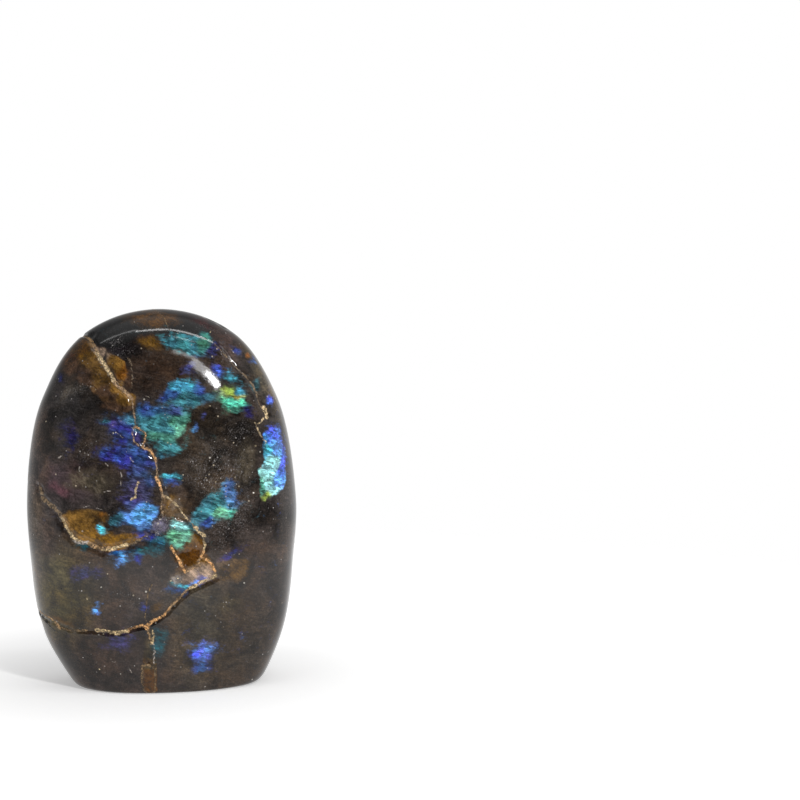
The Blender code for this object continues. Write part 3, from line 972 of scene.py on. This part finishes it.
class Shader:
    """Short calls that add shader nodes and join them."""

    def __init__(self, tree):
        self.tree = tree
        self.tree.nodes.clear()

    def add(self, kind, inputs=None, **settings):
        node = self.tree.nodes.new(kind)
        for name, value in settings.items():
            setattr(node, name, value)
        for name, value in (inputs or {}).items():
            self.feed(node.inputs[name], value)
        return node

    def feed(self, socket, value):
        if isinstance(value, bpy.types.NodeSocket):
            self.tree.links.new(value, socket)
        else:
            socket.default_value = value

    def math(self, operation, first, second=0.0):
        return self.add("ShaderNodeMath", {0: first, 1: second}, operation=operation).outputs[0]

    def ramp(self, value, start, end, low=0.0, high=1.0):
        """value taken smoothly from low to high between start and end."""
        inputs = {"Value": value, "From Min": start, "From Max": end, "To Min": low, "To Max": high}
        node = self.add("ShaderNodeMapRange", inputs, interpolation_type="SMOOTHSTEP")
        return node.outputs[0]

    def mix(self, share, first, second, how="MIX"):
        inputs = {0: share, 6: first, 7: second}
        node = self.add("ShaderNodeMix", inputs, data_type="RGBA", blend_type=how)
        return node.outputs[2]

    def noise(self, spot, size, detail=2.0, roughness=0.5, distortion=0.0):
        inputs = {
            "Vector": spot,
            "Scale": 1 / size,
            "Detail": detail,
            "Roughness": roughness,
            "Distortion": distortion,
        }
        return self.add("ShaderNodeTexNoise", inputs).outputs[0]

    def cells(self, spot, size):
        """Random cells: the distance from each cell's middle, and the cell's own random colour."""
        node = self.add("ShaderNodeTexVoronoi", {"Vector": spot, "Scale": 1 / size}, feature="F1")
        return node.outputs["Distance"], node.outputs["Color"]

    def leaning(self, spot, lean, size):
        """Coordinates measured in grains of the given size, which rise to the right by lean."""
        inputs = {"Vector": spot, "Rotation": (0, -math.radians(lean), 0), "Scale": size}
        return self.add("ShaderNodeMapping", inputs, vector_type="TEXTURE").outputs[0]

    def layer(self, name):
        node = self.add("ShaderNodeAttribute", attribute_name=name, attribute_type="GEOMETRY")
        return node.outputs["Color"], node.outputs["Alpha"]

    def channel(self, colour, index):
        return self.add("ShaderNodeSeparateColor", {0: colour}).outputs[index]

    def scale_colour(self, colour, amount):
        node = self.add("ShaderNodeVectorMath", {0: colour}, operation="SCALE")
        self.feed(node.inputs["Scale"], amount)
        return node.outputs[0]


def body_layer(shader, spot, colour):
    clouds = shader.noise(spot, 7 * MM, 5, 0.62, 0.6)
    warmth = shader.noise(spot, 11 * MM, 3, 0.6, 0.4)
    grain = shader.noise(spot, 0.5 * MM, 2, 0.6)
    fibres = shader.noise(shader.leaning(spot, -14, (3.4 * MM, 2 * MM, 0.8 * MM)), 1, 4, 0.65, 0.8)
    warm = shader.mix(1.0, colour, (1.15, 1.0, 0.82, 1), "MULTIPLY")
    colour = shader.mix(shader.ramp(warmth, 0.42, 0.62), colour, warm)
    colour = shader.scale_colour(colour, shader.ramp(clouds, 0.32, 0.68, 0.3, 1.8))
    colour = shader.scale_colour(colour, shader.ramp(grain, 0.3, 0.7, 0.7, 1.35))
    return shader.scale_colour(colour, shader.ramp(fibres, 0.38, 0.72, 0.75, 1.5))


def stain_layer(shader, spot, under, colour, cover):
    edge = shader.noise(spot, 2.2 * MM, 5, 0.7, 0.5)
    depth = shader.noise(spot, 4.5 * MM, 4, 0.65, 0.6)
    fibres = shader.noise(shader.leaning(spot, -40, (2.0 * MM, 2 * MM, 0.9 * MM)), 1, 4, 0.7, 0.8)
    rough = shader.noise(spot, 0.45 * MM, 2, 0.7)
    tear = shader.math("MULTIPLY", shader.math("SUBTRACT", edge, 0.5), 0.9)
    reach = shader.math("ADD", cover, tear)
    colour = shader.scale_colour(colour, shader.ramp(depth, 0.3, 0.68, 0.35, 1.6))
    colour = shader.scale_colour(colour, shader.ramp(fibres, 0.3, 0.7, 0.45, 1.4))
    colour = shader.scale_colour(colour, shader.ramp(rough, 0.3, 0.7, 0.75, 1.25))
    return shader.mix(shader.ramp(reach, 0.15, 0.8), under, colour)


def flash_layer(shader, spot, under, colour, cover):
    """Painted labradorescent sheen: sheets of colour made of small bright cleavage faces, torn at their edges.
    """
    faces_at = shader.leaning(spot, -14, (1.5 * MM, 1.0 * MM, 0.6 * MM))
    bend = shader.add("ShaderNodeTexNoise", {"Vector": faces_at, "Scale": 0.7, "Detail": 3.0}).outputs[1]
    bent = shader.add("ShaderNodeVectorMath", {0: bend}, operation="SCALE")
    bent.inputs["Scale"].default_value = 1.6
    bent = shader.add("ShaderNodeVectorMath", {0: faces_at, 1: bent.outputs[0]}).outputs[0]
    _, face = shader.cells(bent, 1)
    streaks = shader.noise(shader.leaning(spot, -12, (1.8 * MM, 1.2 * MM, 0.5 * MM)), 1, 3, 0.65, 0.5)
    patches = shader.noise(spot, 2.8 * MM, 4, 0.65, 0.5)
    hue_noise = shader.noise(spot, 3.0 * MM, 2, 0.5)
    cracks = shader.noise(shader.leaning(spot, -10, (6 * MM, 4 * MM, 1.6 * MM)), 1, 4, 0.65, 1.2)
    crack = shader.math("ABSOLUTE", shader.math("SUBTRACT", cracks, 0.5))

    tear = shader.math("ADD", shader.math("MULTIPLY", streaks, 0.4), shader.math("MULTIPLY", patches, 1.1))
    reach = shader.math("ADD", cover, shader.math("SUBTRACT", tear, 0.75))
    hue = shader.ramp(hue_noise, 0.25, 0.75, 0.48, 0.52)
    inputs = {"Hue": hue, "Saturation": 0.95, "Color": colour}
    colour = shader.add("ShaderNodeHueSaturation", inputs).outputs[0]
    colour = shader.scale_colour(colour, shader.ramp(shader.channel(face, 0), 0.0, 1.0, 0.45, 1.55))
    colour = shader.scale_colour(colour, shader.ramp(streaks, 0.3, 0.7, 0.6, 1.3))
    colour = shader.scale_colour(colour, shader.ramp(patches, 0.3, 0.65, 0.55, 1.3))
    colour = shader.scale_colour(colour, shader.ramp(crack, 0.0, 0.02, 0.25, 1.0))
    return shader.mix(shader.ramp(reach, 0.1, 0.9), under, colour)


def glitter_layer(shader, spot, under, glint_density):
    """Painted glints: bright cleavage faces that catch the light, as fine grains, scratches and specks."""
    patches = shader.noise(spot, 2.4 * MM, 3, 0.6)
    grains = shader.noise(spot, 0.42 * MM, 3, 0.75)
    scratch = shader.noise(shader.leaning(spot, 58, (1.0 * MM, 0.5 * MM, 0.2 * MM)), 1, 2, 0.6)
    reach = shader.math("MULTIPLY", glint_density, shader.ramp(patches, 0.3, 0.65, 0.25, 1.0))
    share = shader.math("MULTIPLY", shader.ramp(grains, 0.5, 0.72), reach)
    colour = shader.mix(shader.math("MULTIPLY", share, 0.75), under, (0.26, 0.24, 0.24, 1))
    share = shader.math("MULTIPLY", shader.ramp(scratch, 0.6, 0.72), reach)
    colour = shader.mix(shader.math("MULTIPLY", share, 0.5), colour, (0.34, 0.32, 0.31, 1))
    for size, radius, share, tone in (
        (0.7 * MM, 0.34, 0.16, (0.45, 0.42, 0.40, 1)),
        (1.3 * MM, 0.22, 0.14, (0.62, 0.52, 0.38, 1)),
        (2.3 * MM, 0.14, 0.30, (0.75, 0.70, 0.62, 1)),
    ):
        distance, random = shader.cells(spot, size)
        near = shader.ramp(distance, radius, radius * 0.4)
        chance = shader.math("MULTIPLY", glint_density, share)
        picked = shader.math("LESS_THAN", shader.channel(random, 0), chance)
        strength = shader.math("MULTIPLY", near, picked)
        strength = shader.math("MULTIPLY", strength, shader.channel(random, 1))
        colour = shader.mix(strength, colour, tone)
    return colour


# Vein crusts, and the painted glint dots and dashes that share their layer
def crust_and_glint_layer(shader, spot, under, colour, cover):
    edge = shader.noise(spot, 0.8 * MM, 4, 0.8, 0.5)
    gaps = shader.noise(spot, 2.4 * MM, 3, 0.6)
    _, grains = shader.cells(spot, 0.42 * MM)
    grain = shader.noise(spot, 0.32 * MM, 2, 0.7)
    wear = shader.math("MULTIPLY", shader.math("SUBTRACT", edge, 0.5), 2.4)
    wear = shader.math("ADD", wear, shader.math("MULTIPLY", shader.math("SUBTRACT", gaps, 0.5), 1.4))
    reach = shader.math("MULTIPLY", cover, shader.math("ADD", 0.85, wear))
    share = shader.ramp(reach, 0.25, 0.8)
    colour = shader.scale_colour(colour, shader.ramp(grain, 0.32, 0.68, 0.4, 1.4))
    colour = shader.scale_colour(colour, shader.ramp(shader.channel(grains, 0), 0.0, 1.0, 0.3, 1.6))
    return shader.mix(share, under, colour), share


def stone_material():
    material = bpy.data.materials.new("labradorite")
    material.use_nodes = True
    shader = Shader(material.node_tree)
    spot = shader.add("ShaderNodeTexCoord").outputs["Object"]
    body, glint_density = shader.layer("body")
    stain, stained = shader.layer("stain")
    flash, flashed = shader.layer("flash")
    crust_and_glints, crust_and_glint_cover = shader.layer("crust_and_glints")

    colour = body_layer(shader, spot, body)
    colour = stain_layer(shader, spot, colour, stain, stained)
    colour = flash_layer(shader, spot, colour, flash, flashed)
    colour = glitter_layer(shader, spot, colour, glint_density)
    colour, share = crust_and_glint_layer(shader, spot, colour, crust_and_glints, crust_and_glint_cover)

    surface = shader.add("ShaderNodeBsdfPrincipled", {"Base Color": colour})
    surface.inputs["IOR"].default_value = 1.56
    surface.inputs["Specular IOR Level"].default_value = 0.32
    shader.feed(surface.inputs["Roughness"], shader.ramp(share, 0.0, 1.0, 0.07, 0.6))
    ripple = shader.math("MULTIPLY", shader.noise(spot, 0.8 * MM, 2, 0.6), 0.10)
    height = shader.math("MULTIPLY", shader.noise(spot, 0.4 * MM, 2, 0.7), share)
    height = shader.math("ADD", height, ripple)
    bump = shader.add("ShaderNodeBump", {"Height": height, "Strength": 0.6, "Distance": 0.15 * MM})
    shader.feed(surface.inputs["Normal"], bump.outputs[0])
    output = shader.add("ShaderNodeOutputMaterial")
    shader.feed(output.inputs["Surface"], surface.outputs[0])
    return material


def add_floor():
    """A pale table top that fades into the white all round, and glows as painted light, more away from the
    stone.
    """
    bpy.ops.mesh.primitive_circle_add(vertices=96, radius=FLOOR_RADIUS, fill_type="NGON")
    floor = bpy.context.object
    floor.name = "floor"
    material = bpy.data.materials.new("pale_floor")
    material.use_nodes = True
    shader = Shader(material.node_tree)
    spot = shader.add("ShaderNodeTexCoord").outputs["Object"]
    away = shader.add("ShaderNodeVectorMath", {0: spot}, operation="LENGTH").outputs["Value"]
    solid = shader.ramp(away, FLOOR_CLEAR_FROM, FLOOR_OPAQUE_TO)
    matte = shader.add("ShaderNodeBsdfDiffuse", {"Color": (0.86, 0.86, 0.86, 1)}).outputs[0]
    # Painted light: the floor's glow is weaker near the stone and stronger away, so it is darker round the
    # stone
    lift = shader.ramp(away, 0.03, 0.13, 0.37, 0.72)
    glow = shader.add("ShaderNodeEmission", {"Color": (1, 1, 1, 1), "Strength": lift}).outputs[0]
    pale = shader.add("ShaderNodeAddShader", {0: matte, 1: glow}).outputs[0]
    clear = shader.add("ShaderNodeBsdfTransparent").outputs[0]
    fade = shader.add("ShaderNodeMixShader", {0: solid, 1: clear, 2: pale}).outputs[0]
    output = shader.add("ShaderNodeOutputMaterial")
    shader.feed(output.inputs["Surface"], fade)
    floor.data.materials.append(material)


def add_world():
    """White to the camera; to the stone, a bright room with a dark gap behind the camera."""
    world = bpy.data.worlds.new("studio")
    bpy.context.scene.world = world
    world.use_nodes = True
    shader = Shader(world.node_tree)
    ray = shader.add("ShaderNodeTexCoord").outputs["Generated"]
    parts = shader.add("ShaderNodeSeparateXYZ", {0: ray})
    across, up = parts.outputs[0], parts.outputs[2]
    gap_turn = math.radians(15)
    gap = shader.add("ShaderNodeVectorMath", {0: ray}, operation="DOT_PRODUCT")
    gap.inputs[1].default_value = (math.sin(gap_turn), -math.cos(gap_turn), 0)
    open_share = shader.ramp(gap.outputs["Value"], 0.62, 0.22, 0.14, 1.0)
    sides = shader.ramp(across, -0.2, 0.7, 0.5, 0.95)
    light = shader.math("MULTIPLY", sides, open_share)
    light = shader.math("MULTIPLY", light, shader.ramp(up, 0.0, 0.35, 1.0, 0.45))
    overhead = shader.ramp(up, 0.75, 0.95, 0.0, 0.5)
    light = shader.math("ADD", light, overhead)
    is_camera = shader.add("ShaderNodeLightPath").outputs["Is Camera Ray"]
    strength = shader.math("MAXIMUM", light, is_camera)
    back = shader.add("ShaderNodeBackground", {"Color": (1, 1, 1, 1), "Strength": strength})
    output = shader.add("ShaderNodeOutputWorld")
    shader.feed(output.inputs["Surface"], back.outputs[0])


def add_area_light(name, place, target, roll, size, power):
    lamp = bpy.data.lights.new(name, "AREA")
    lamp.shape = "RECTANGLE"
    lamp.size, lamp.size_y = size
    lamp.energy = power
    light = bpy.data.objects.new(name, lamp)
    bpy.context.scene.collection.objects.link(light)
    light.location = place
    aim = (Vector(target) - Vector(place)).to_track_quat("-Z", "Y")
    light.rotation_euler = (aim @ Quaternion((0, 0, 1), math.radians(roll))).to_euler()


def add_lights():
    middle = Vector((0, 0, 55 * MM))
    for name, (azimuth, elevation, roll, size, power) in SOFTBOXES.items():
        azimuth, elevation = math.radians(azimuth), math.radians(elevation)
        toward = Vector((
            math.sin(azimuth) * math.cos(elevation),
            -math.cos(azimuth) * math.cos(elevation),
            math.sin(elevation),
        ))
        add_area_light(name, middle + SOFTBOX_DISTANCE * toward, middle, roll, size, power)
    for name, (place, size, power) in STRIPS.items():
        add_area_light(name, place, (place[0], 0, 95 * MM), 0, size, power)


def add_camera():
    lens = bpy.data.cameras.new("camera")
    lens.lens = LENS
    lens.sensor_width = SENSOR
    camera = bpy.data.objects.new("camera", lens)
    bpy.context.scene.collection.objects.link(camera)
    camera.location = CAMERA_AT
    pitch = math.radians(90 - CAMERA_PITCH)
    camera.rotation_euler = (pitch, 0, math.radians(-CAMERA_YAW))
    bpy.context.scene.camera = camera


def main():
    noise.seed_set(DRIFT_SEED)
    bpy.context.scene.view_settings.view_transform = "Standard"
    stone = make_stone()
    stone.data.materials.append(stone_material())
    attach(stone, "root")
    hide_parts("stone")
    add_floor()
    add_world()
    add_lights()
    add_camera()


main()
